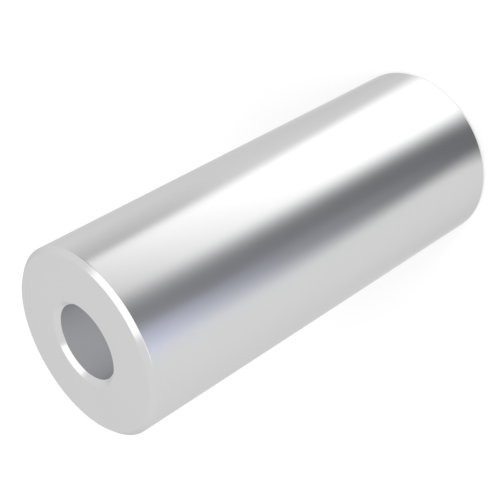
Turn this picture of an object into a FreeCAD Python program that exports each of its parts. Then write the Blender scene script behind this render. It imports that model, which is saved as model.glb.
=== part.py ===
import FreeCAD, Part
import os

# Spacer sleeve: a plain round tube turned from aluminium bar and bored right through, with a small
# 45 degree chamfer on the outer edge and on the bore's mouth at both ends. It stands on one end.
# Sizes are in millimetres. +Z runs along the bore, and the origin is the centre of the lower end.

# Driving dimensions
OUTER_DIAMETER = 20.0
BORE_DIAMETER = 8.0
LENGTH = 50.0
OUTER_CHAMFER = 0.5  # legs of the chamfer on the outer edge of each end
BORE_CHAMFER = 0.5  # legs of the chamfer at each mouth of the bore


def wall_section():
    """The wall cut along the axis on its +X side, as a flat face that stands on the lower end."""
    outer_radius = OUTER_DIAMETER / 2
    bore_radius = BORE_DIAMETER / 2
    lower_corners = [
        (bore_radius, BORE_CHAMFER),
        (bore_radius + BORE_CHAMFER, 0),
        (outer_radius - OUTER_CHAMFER, 0),
        (outer_radius, OUTER_CHAMFER),
    ]
    # The upper end is the lower one mirrored about the middle of the length.
    upper_corners = [(radius, LENGTH - height) for radius, height in reversed(lower_corners)]
    corners = [FreeCAD.Vector(radius, 0, height) for radius, height in lower_corners + upper_corners]
    outline = Part.makePolygon(corners + corners[:1])
    return Part.Face(outline)


def turned_sleeve():
    """The wall's section carried once round the axis, which is the form a lathe leaves."""
    axis_point = FreeCAD.Vector(0, 0, 0)
    axis_direction = FreeCAD.Vector(0, 0, 1)
    return wall_section().revolve(axis_point, axis_direction, 360)


os.makedirs("parts", exist_ok=True)
sleeve_body = turned_sleeve()
sleeve_body.exportStep("parts/sleeve_body.step")
print(f"sleeve_body: {sleeve_body.Volume / 1000:.3f} cubic centimetres")
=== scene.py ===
import math

import bpy
from mathutils import Euler, Matrix, Vector


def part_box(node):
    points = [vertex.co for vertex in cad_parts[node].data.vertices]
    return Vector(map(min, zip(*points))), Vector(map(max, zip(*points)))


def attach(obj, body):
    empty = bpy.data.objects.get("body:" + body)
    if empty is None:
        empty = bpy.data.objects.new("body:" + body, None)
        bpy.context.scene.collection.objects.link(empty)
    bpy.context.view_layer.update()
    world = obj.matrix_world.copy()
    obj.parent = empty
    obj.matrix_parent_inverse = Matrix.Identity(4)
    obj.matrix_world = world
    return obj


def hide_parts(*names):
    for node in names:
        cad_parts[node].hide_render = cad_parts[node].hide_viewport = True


# A plain turned spacer sleeve that stands on one end on a white studio floor. Sizes are in
# metres, except those said to be in outer radii of the sleeve. An azimuth is a direction round
# the sleeve's axis in degrees, from the camera's side towards +X.

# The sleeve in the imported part
NODE = "sleeve_body"
BODY = "root"
MILLIMETRE = 0.001

# The view, with places in outer radii. The roll makes the sleeve run from lower left to upper
# right.
VIEW_PLACE = Vector((0, -10.643, 10.288))
VIEW_AIM = Vector((-0.0154, 0, 2.7774))
VIEW_ROLL = math.radians(-120.01)
LENS_MM = 89.38
SENSOR_MM = 36.0
CLIP_START = 1 * MILLIMETRE

# The sleeve's mesh
TURN_STEPS = 256
ROWS = {"wall": 24, "bore": 24, "face": 6, "chamfer": 1}
EDGE_BREAK = 0.07 * MILLIMETRE  # radius left on each corner where its edge was eased
EDGE_STEPS = 4
TOP_DEPTH = 0.01 * MILLIMETRE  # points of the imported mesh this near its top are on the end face

# The metal
METAL_GREY = 0.64
GREY_SPREAD = 0.015  # share by which the grey varies each way
EDGE_TINT = 0.75  # keeps the reflection at grazing angles about as bright as the rest
WALL_ROUGHNESS = 0.18
FACE_ROUGHNESS = 0.22
CHAMFER_ROUGHNESS = 0.14
BORE_ROUGHNESS = 0.34
ROUGHNESS_SPREAD = 0.1  # share by which each roughness varies each way
MARK_PITCH = 0.12 * MILLIMETRE
MARK_DEPTH = 0.002 * MILLIMETRE
PATCH_SIZE = 6 * MILLIMETRE
NOISE_LOW = 0.3  # most of the noise lies between these two
NOISE_HIGH = 0.7

# The floor, the world and the lamp
FLOOR_SIDE = 4.0
FLOOR_COLOUR = (0.8, 0.8, 0.8, 1)
FLOOR_GLOW = 0.62  # the share of plain white in what the camera sees of the floor
WORLD_COLOUR = (1, 1, 1, 1)
MATT_LIGHT = 0.75  # the world's strength on matt surfaces
LAMP_STRENGTH = 2.2
LAMP_SPREAD = math.radians(30)
LAMP_TILT = math.radians(28)

# The cards that the metal mirrors, with sizes in outer radii
CARD_LAYER = "light"
CARD_STEPS = 180  # round a card that is a ring
FLOOR_CARD_HEIGHT = 0.001
FLOOR_CARD_END = 60.0  # how far out it runs
FLOOR_CARD_ROWS = 60
FULL_REACH = 9  # the distance at which the reach in floor_light is 1
MOST_REACH = 1.06
FLAG_TINT = Vector((0.97, 0.985, 1.045))
BACK_FLAG = Vector((0.3, 0.3, 0.31))
PANEL_HEIGHT = 60.0  # of the curved panel overhead
PANEL_COLUMNS = 24
PANEL_LIGHT = 1.75
STAND_DISTANCE = 16.0  # of the upright cards
STAND_HEIGHT = 14.0
STAND_COLUMNS = 16
BORE_GAP = 0.003  # between the bore and the cards in it
BORE_ROWS = 20
LID_HOLE = 0.01  # radius left open in the middle of the card across the bore
# brightness of the painted white reflection that the glowing cards at the mouth give the chamfer
MOUTH_LIGHT = 0.95
# tint of the painted reflection that the glowing card down the bore gives the bore wall
BORE_REFLECTION_TINT = Vector((0.98, 1, 1.06))

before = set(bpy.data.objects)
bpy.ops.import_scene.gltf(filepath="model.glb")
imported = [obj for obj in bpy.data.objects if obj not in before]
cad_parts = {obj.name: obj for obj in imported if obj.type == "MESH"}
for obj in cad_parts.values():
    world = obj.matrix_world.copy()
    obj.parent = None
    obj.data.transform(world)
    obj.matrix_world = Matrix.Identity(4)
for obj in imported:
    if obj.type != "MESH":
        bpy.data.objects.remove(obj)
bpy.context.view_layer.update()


class Sleeve:
    """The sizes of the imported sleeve, read from its mesh."""

    def __init__(self, node):
        _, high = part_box(node)
        self.height = high.z
        self.outer_radius = high.x
        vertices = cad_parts[node].data.vertices
        points = [(math.hypot(vertex.co.x, vertex.co.y), vertex.co.z) for vertex in vertices]
        self.bore_radius = min(radius for radius, _ in points)
        end_face = [radius for radius, z in points if z > high.z - TOP_DEPTH]
        self.outer_chamfer = self.outer_radius - max(end_face)
        self.bore_chamfer = min(end_face) - self.bore_radius


sleeve = Sleeve(NODE)
RADIUS = sleeve.outer_radius


def add_object(data):
    """Puts a mesh, lamp or camera in the scene, under its own name."""
    thing = bpy.data.objects.new(data.name, data)
    bpy.context.scene.collection.objects.link(thing)
    return thing


def quads(rows, columns, round_rows, round_columns):
    """The cells of a grid of vertices that are numbered row by row. A grid that is round one
    way joins its last line to its first."""
    cells = []
    for row in range(rows if round_rows else rows - 1):
        here, there = row * columns, (row + 1) % rows * columns
        for column in range(columns if round_columns else columns - 1):
            after = (column + 1) % columns
            cells.append((here + column, here + after, there + after, there + column))
    return cells


def grey(level):
    return Vector((level, level, level))


def smooth(value, low, high):
    """0 below low, 1 above high, and an even S between."""
    share = min(1, max(0, (value - low) / (high - low)))
    return share * share * (3 - 2 * share)


def soft_edge(value, edge, blur):
    """0 before an edge and 1 after it, with the S reaching this far to each side."""
    return smooth(value, edge - blur, edge + blur)


def section_corners():
    """The corners of the wall's section, anticlockwise from the lower end of the bore. Each is
    its (radius, height) and the surface that follows it."""
    inner, outer, height = sleeve.bore_radius, sleeve.outer_radius, sleeve.height
    bore_chamfer, outer_chamfer = sleeve.bore_chamfer, sleeve.outer_chamfer
    return [
        (Vector((inner, bore_chamfer)), "chamfer"),
        (Vector((inner + bore_chamfer, 0)), "face"),
        (Vector((outer - outer_chamfer, 0)), "chamfer"),
        (Vector((outer, outer_chamfer)), "wall"),
        (Vector((outer, height - outer_chamfer)), "chamfer"),
        (Vector((outer - outer_chamfer, height)), "face"),
        (Vector((inner + bore_chamfer, height)), "chamfer"),
        (Vector((inner, height - bore_chamfer)), "bore"),
    ]


def eased_corner(corner, before, after):
    """The arc that eases a corner, as (place, normal). before and after are the outward normals
    of the surfaces that meet there."""
    centre = corner - (before + after) * EDGE_BREAK / (1 + before.dot(after))
    turn = before.angle_signed(after)
    arc = []
    for step in range(EDGE_STEPS + 1):
        normal = before.copy()
        normal.rotate(Matrix.Rotation(-turn * step / EDGE_STEPS, 2))
        arc.append((centre + normal * EDGE_BREAK, normal))
    return arc


def section_rings():
    """The rings of the turned mesh, as (place, outward normal, surface up to the next ring).
    Places and normals are in (radius, height)."""
    corners = section_corners()
    count = len(corners)
    normals = []
    for index, (corner, _) in enumerate(corners):
        along = (corners[(index + 1) % count][0] - corner).normalized()
        normals.append(Vector((along.y, -along.x)))
    arcs = []
    for index, (corner, _) in enumerate(corners):
        arcs.append(eased_corner(corner, normals[index - 1], normals[index]))
    rings = []
    for index, arc in enumerate(arcs):
        surface = corners[index][1]
        rings += [(place, normal, "chamfer") for place, normal in arc[:-1]]
        start, normal = arc[-1]
        end = arcs[(index + 1) % count][0][0]
        for row in range(ROWS[surface]):
            rings.append((start.lerp(end, row / ROWS[surface]), normal, surface))
    return rings


def turned_mesh(name, materials):
    """The section carried once round the axis, with its exact normals and one material per
    surface."""
    rings = section_rings()
    slots = list(materials)
    vertices, normals, surfaces = [], [], []
    for place, normal, surface in rings:
        for step in range(TURN_STEPS):
            angle = math.tau * step / TURN_STEPS
            across, along = math.cos(angle), math.sin(angle)
            vertices.append((place.x * across, place.x * along, place.y))
            normals.append((normal.x * across, normal.x * along, normal.y))
            surfaces.append(slots.index(surface))
    mesh = bpy.data.meshes.new(name)
    mesh.from_pydata(vertices, [], quads(len(rings), TURN_STEPS, True, True))
    for surface in slots:
        mesh.materials.append(materials[surface])
    mesh.polygons.foreach_set("material_index", surfaces)
    mesh.shade_smooth()
    mesh.normals_split_custom_set_from_vertices(normals)
    return mesh


class Nodes:
    """The node tree of a new material or world, emptied, with short ways to add to it."""

    def __init__(self, owner):
        owner.use_nodes = True
        self.tree = owner.node_tree
        self.tree.nodes.clear()

    def add(self, kind, inputs=None, **settings):
        """A node with these settings. inputs gives sockets, by name or number, a value or the
        output of another node."""
        node = self.tree.nodes.new(kind)
        for setting, value in settings.items():
            setattr(node, setting, value)
        for socket, value in (inputs or {}).items():
            if isinstance(value, bpy.types.NodeSocket):
                self.tree.links.new(value, node.inputs[socket])
            else:
                node.inputs[socket].default_value = value
        return node

    def maths(self, operation, *values):
        """The result of this operation on values or outputs of other nodes."""
        node = self.add("ShaderNodeMath", dict(enumerate(values)), operation=operation)
        return node.outputs["Value"]


def turned_metal(name, roughness, marks_along):
    """Bare satin aluminium with the fine marks of turning. marks_along is "height" or "radius",
    whichever the marks follow each other along."""
    material = bpy.data.materials.new(name)
    nodes = Nodes(material)
    place = nodes.add("ShaderNodeTexCoord").outputs["Object"]
    split = nodes.add("ShaderNodeSeparateXYZ", {"Vector": place}).outputs
    if marks_along == "height":
        across_marks = split["Z"]
    else:
        flat = nodes.add("ShaderNodeCombineXYZ", {"X": split["X"], "Y": split["Y"]})
        length = nodes.add("ShaderNodeVectorMath", {0: flat.outputs["Vector"]}, operation="LENGTH")
        across_marks = length.outputs["Value"]
    marks = nodes.add("ShaderNodeTexNoise", {
        "W": across_marks,
        "Scale": 1 / MARK_PITCH,
        "Detail": 2,
    }, noise_dimensions="1D")
    patches = nodes.add("ShaderNodeTexNoise", {
        "Vector": place,
        "Scale": 1 / PATCH_SIZE,
        "Detail": 3,
    })
    both = nodes.add("ShaderNodeMix", {
        "Factor": 0.5,
        "A": marks.outputs["Fac"],
        "B": patches.outputs["Fac"],
    }, data_type="FLOAT")
    shine = nodes.add("ShaderNodeMapRange", {
        "Value": both.outputs["Result"],
        "From Min": NOISE_LOW,
        "From Max": NOISE_HIGH,
        "To Min": roughness * (1 - ROUGHNESS_SPREAD),
        "To Max": roughness * (1 + ROUGHNESS_SPREAD),
    })
    colour = nodes.add("ShaderNodeValToRGB", {"Fac": both.outputs["Result"]})
    dark_end, light_end = colour.color_ramp.elements
    dark_end.position = NOISE_LOW
    dark_end.color = (*grey(METAL_GREY * (1 - GREY_SPREAD)), 1)
    light_end.position = NOISE_HIGH
    light_end.color = (*grey(METAL_GREY * (1 + GREY_SPREAD)), 1)
    relief = nodes.add("ShaderNodeBump", {
        "Height": marks.outputs["Fac"],
        "Strength": 1,
        "Distance": MARK_DEPTH,
    })
    metal = nodes.add("ShaderNodeBsdfPrincipled", {
        "Metallic": 1,
        "Base Color": colour.outputs["Color"],
        "Roughness": shine.outputs["Result"],
        "Normal": relief.outputs["Normal"],
        "Specular Tint": (*grey(EDGE_TINT), 1),
    })
    nodes.add("ShaderNodeOutputMaterial", {"Surface": metal.outputs["BSDF"]})
    return material


def circle(radius, height):
    """Places round the axis, in outer radii."""
    turns = [math.tau * step / CARD_STEPS for step in range(CARD_STEPS)]
    return [Vector((math.sin(turn) * radius, -math.cos(turn) * radius, height)) for turn in turns]


def azimuth_of(place):
    return math.degrees(math.atan2(place.x, -place.y))


def card_material(name):
    """Glows in the card's own colours at the front, and is clear from the back."""
    material = bpy.data.materials.new(name)
    nodes = Nodes(material)
    colour = nodes.add("ShaderNodeVertexColor", layer_name=CARD_LAYER).outputs["Color"]
    glow = nodes.add("ShaderNodeEmission", {"Color": colour}).outputs["Emission"]
    clear = nodes.add("ShaderNodeBsdfTransparent").outputs["BSDF"]
    back = nodes.add("ShaderNodeNewGeometry").outputs["Backfacing"]
    sheet = nodes.add("ShaderNodeMixShader", {0: back, 1: glow, 2: clear})
    nodes.add("ShaderNodeOutputMaterial", {"Surface": sheet.outputs["Shader"]})
    return material


def lighting_card(name, rows, light, closed):
    """A sheet that glows on its front and can't be seen from its back. Only the metal sees it,
    so it shows in reflections and nowhere else. rows are lines of places in outer radii, each
    joined to the next, and closed ones run all the way round. light gives the colour of a
    place."""
    places = [place for row in rows for place in row]
    faces = [(a, d, c, b) for a, b, c, d in quads(len(rows), len(rows[0]), False, closed)]
    mesh = bpy.data.meshes.new(name)
    mesh.from_pydata([place * RADIUS for place in places], [], faces)
    layer = mesh.color_attributes.new(CARD_LAYER, "FLOAT_COLOR", "POINT")
    layer.data.foreach_set("color", [part for place in places for part in (*light(place), 1)])
    mesh.materials.append(card_material(name))
    card = add_object(mesh)
    card.visible_camera = False
    card.visible_diffuse = False
    card.visible_transmission = False
    card.visible_volume_scatter = False
    card.visible_shadow = False


def floor_light(place):
    """The floor as the metal sees it. Going round from the camera's left it is white, then a
    dark flag, a bright panel and a floor a little under white, with a second dark flag behind
    the sleeve. Edges and brightness change with reach, which is 0 at the sleeve's foot."""
    azimuth = azimuth_of(place)
    aside = abs(azimuth)
    reach = min(math.log(max(place.xy.length, 1)) / math.log(FULL_REACH), MOST_REACH)

    flag_edge = -21.8 - 32 * reach + 28.3 * reach ** 4
    flag_blur = 8.6 - 6 * reach + 19 * reach ** 2
    flag = soft_edge(azimuth, flag_edge, flag_blur) ** 0.8
    flag_light = 0.235 + 0.08 * reach ** 2 + 0.16 * reach * smooth(-azimuth, 11, 23)

    panel_edge = 2.2 + 8.9 * reach
    panel_blur = 12.5 + 7 * reach
    panel = soft_edge(azimuth, panel_edge, panel_blur) ** 2
    panel_light = 1.76 - 2.15 * max(reach - 0.5, 0) ** 2 + 0.26 * reach * (azimuth - 55) / 40

    side_edge = 76 - 29 * max(1 - reach, 0) ** 4.5
    side_blur = 9 - 3 * smooth(reach, 0.7, 1.0)
    side = soft_edge(azimuth, side_edge, side_blur)
    side_light = 0.985 - 0.37 * smooth(reach, 0.66, 1.0) * (1 - smooth(azimuth, 65, 123))

    colour = grey(1)
    colour = colour.lerp(FLAG_TINT * flag_light, flag)
    colour = colour.lerp(grey(panel_light), panel)
    colour = colour.lerp(grey(side_light), side)

    # Beyond the sides it is a little brighter, then greyer, and darkest straight behind
    colour *= 1 + 0.075 * smooth(aside, 95, 140)
    colour = colour.lerp(grey(0.78), smooth(aside, 110 + 28 * reach, 152 + 28 * reach))
    colour = colour.lerp(BACK_FLAG, smooth(aside, 163, 172))

    # Far out, the first flag's edge is bluer
    blue = 0.17 * reach ** 4 * smooth(azimuth, -62, -30) * (1 - smooth(azimuth, -30, 3))
    return colour * Vector((1 - 0.35 * blue, 1 - 0.15 * blue, 1 + 0.85 * blue))


def floor_cards():
    """One card on the floor all round the sleeve, in rings that widen by the same share each
    time."""
    inner = 1 - sleeve.outer_chamfer / RADIUS
    growth = FLOOR_CARD_END / inner
    distances = [inner * growth ** (row / FLOOR_CARD_ROWS) for row in range(FLOOR_CARD_ROWS + 1)]
    rows = [circle(distance, FLOOR_CARD_HEIGHT) for distance in distances]
    lighting_card("floor_cards", rows, floor_light, closed=True)


def ceiling_panel():
    """A bright curved strip overhead and in front, which shows in the chamfers. It fades to
    white at both ends. Its places are given in shares of its height above the floor."""
    left, right = -0.38, 1.03
    left_fade_end, right_fade_start = -0.17, 0.70
    spacing = (right - left) / PANEL_COLUMNS
    across = [left + spacing * column for column in range(PANEL_COLUMNS + 1)]
    near = [Vector((x, -0.62 + 0.40 * x * x, 1)) * PANEL_HEIGHT for x in across]
    far = [Vector((x, -0.36 + 0.47 * x * x, 1)) * PANEL_HEIGHT for x in across]

    def light(place):
        x = place.x / PANEL_HEIGHT
        lit = smooth(x, left, left_fade_end) * (1 - smooth(x, right_fade_start, right))
        return grey(1 + (PANEL_LIGHT - 1) * lit)

    lighting_card("ceiling_panel", [near, far], light, closed=False)


def upright_card(name, middle, half_width, brightness):
    """A card that stands round to one side and fades to white at its sides. middle and
    half_width are in degrees. It shows along the eased edge between wall and chamfer, and in
    the wall from low down."""
    left = middle - half_width
    spacing = 2 * half_width / STAND_COLUMNS
    turns = [math.radians(left + spacing * column) for column in range(STAND_COLUMNS + 1)]
    foot = [Vector((math.sin(turn), -math.cos(turn), 0)) * STAND_DISTANCE for turn in turns]
    head = [place + Vector((0, 0, STAND_HEIGHT)) for place in foot]

    def light(place):
        fade = smooth(abs(azimuth_of(place) - middle), half_width * 0.4, half_width)
        return grey(brightness + (1 - brightness) * fade)

    lighting_card(name, [foot, head], light, closed=False)


def bore_cards():
    """Glowing cards in the bore, which paint what the bore and its mouth's chamfer mirror. White
    ones lie across it just under the mouth's chamfer and close over the chamfer itself. They are a
    painted reflection, so that the chamfer doesn't mirror a dark hole. The one down the sides
    paints the bore's reflection a soft grey, a little lighter in front and behind, with painted
    shade that makes it darker further in."""
    chamfer = sleeve.bore_chamfer / RADIUS
    height = sleeve.height / RADIUS
    top = height - chamfer
    radius = sleeve.bore_radius / RADIUS - BORE_GAP

    # A painted white reflection for the mouth's chamfer, in place of the dark bore
    def mouth_light(place):
        return grey(MOUTH_LIGHT)

    # Painted reflection for the bore wall, lighter in front and behind, with painted shade that
    # darkens it further in
    def lining_light(place):
        level = 0.38 + 0.10 * math.cos(math.radians(azimuth_of(place) - 5)) ** 2
        depth = top - place.z
        return BORE_REFLECTION_TINT * level * (1 - 0.8 * smooth(depth, 0.4, 1.8))

    lid = [circle(LID_HOLE, top), circle(radius, top)]
    mouth = [circle(radius, top), circle(radius + chamfer, height)]
    lining = [circle(radius, top * (1 - row / BORE_ROWS)) for row in range(BORE_ROWS)]
    lighting_card("bore_lid_card", lid, mouth_light, closed=True)
    lighting_card("mouth_card", mouth, mouth_light, closed=True)
    lighting_card("bore_reflection_card", lining, lining_light, closed=True)


def floor():
    """The white floor. What the camera sees of it is part plain white and part matt, so that it
    keeps the sleeve's soft shadow, and the metal sees it white."""
    half = FLOOR_SIDE / 2
    corners = [(-half, -half, 0), (half, -half, 0), (half, half, 0), (-half, half, 0)]
    mesh = bpy.data.meshes.new("floor")
    mesh.from_pydata(corners, [], [(0, 1, 2, 3)])
    material = bpy.data.materials.new("floor")
    nodes = Nodes(material)
    path = nodes.add("ShaderNodeLightPath").outputs
    mirrored = nodes.maths("MAXIMUM", path["Is Glossy Ray"], path["Is Transmission Ray"])
    share = nodes.maths("MULTIPLY_ADD", path["Is Camera Ray"], FLOOR_GLOW, mirrored)
    matt = nodes.add("ShaderNodeBsdfDiffuse", {"Color": FLOOR_COLOUR}).outputs["BSDF"]
    white = nodes.add("ShaderNodeEmission", {"Strength": 1}).outputs["Emission"]
    surface = nodes.add("ShaderNodeMixShader", {0: share, 1: matt, 2: white})
    nodes.add("ShaderNodeOutputMaterial", {"Surface": surface.outputs["Shader"]})
    mesh.materials.append(material)
    add_object(mesh)


def surroundings():
    """White all round: strength 1 where the camera or the metal sees it, and plain light
    elsewhere."""
    world = bpy.data.worlds.new("studio")
    bpy.context.scene.world = world
    nodes = Nodes(world)
    path = nodes.add("ShaderNodeLightPath").outputs
    seen = nodes.maths("MAXIMUM", path["Is Camera Ray"], path["Is Glossy Ray"])
    seen = nodes.maths("MAXIMUM", path["Is Transmission Ray"], seen)
    strength = nodes.add("ShaderNodeMapRange", {"Value": seen, "To Min": MATT_LIGHT, "To Max": 1})
    sky = nodes.add("ShaderNodeBackground", {
        "Color": WORLD_COLOUR,
        "Strength": strength.outputs["Result"],
    })
    nodes.add("ShaderNodeOutputWorld", {"Surface": sky.outputs["Background"]})


def key_lamp():
    """A broad soft lamp high on the camera's side, so that the shadow falls behind the
    sleeve."""
    lamp = bpy.data.lights.new("key_lamp", "SUN")
    lamp.energy = LAMP_STRENGTH
    lamp.angle = LAMP_SPREAD
    thing = add_object(lamp)
    thing.rotation_euler = Euler((LAMP_TILT, 0, 0))
    thing.visible_glossy = False


def camera():
    lens = bpy.data.cameras.new("camera")
    lens.sensor_width = SENSOR_MM
    lens.lens = LENS_MM
    lens.clip_start = CLIP_START
    thing = add_object(lens)
    place = Matrix.Translation(VIEW_PLACE * RADIUS)
    level = (VIEW_AIM - VIEW_PLACE).to_track_quat("-Z", "Y").to_matrix().to_4x4()
    roll = Matrix.Rotation(VIEW_ROLL, 4, "Z")
    thing.matrix_world = place @ level @ roll
    bpy.context.scene.camera = thing


finish_of = {
    "wall": turned_metal("sleeve_wall", WALL_ROUGHNESS, "height"),
    "face": turned_metal("sleeve_face", FACE_ROUGHNESS, "radius"),
    "chamfer": turned_metal("sleeve_chamfer", CHAMFER_ROUGHNESS, "radius"),
    "bore": turned_metal("sleeve_bore", BORE_ROUGHNESS, "height"),
}
body = add_object(turned_mesh("turned_sleeve", finish_of))
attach(body, BODY)
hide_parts(NODE)

floor()
floor_cards()
ceiling_panel()
upright_card("strip_light", middle=-36, half_width=21, brightness=1.7)
upright_card("black_flag", middle=75, half_width=18, brightness=0.35)
bore_cards()
surroundings()
key_lamp()
camera()
bpy.context.scene.view_settings.view_transform = "Standard"
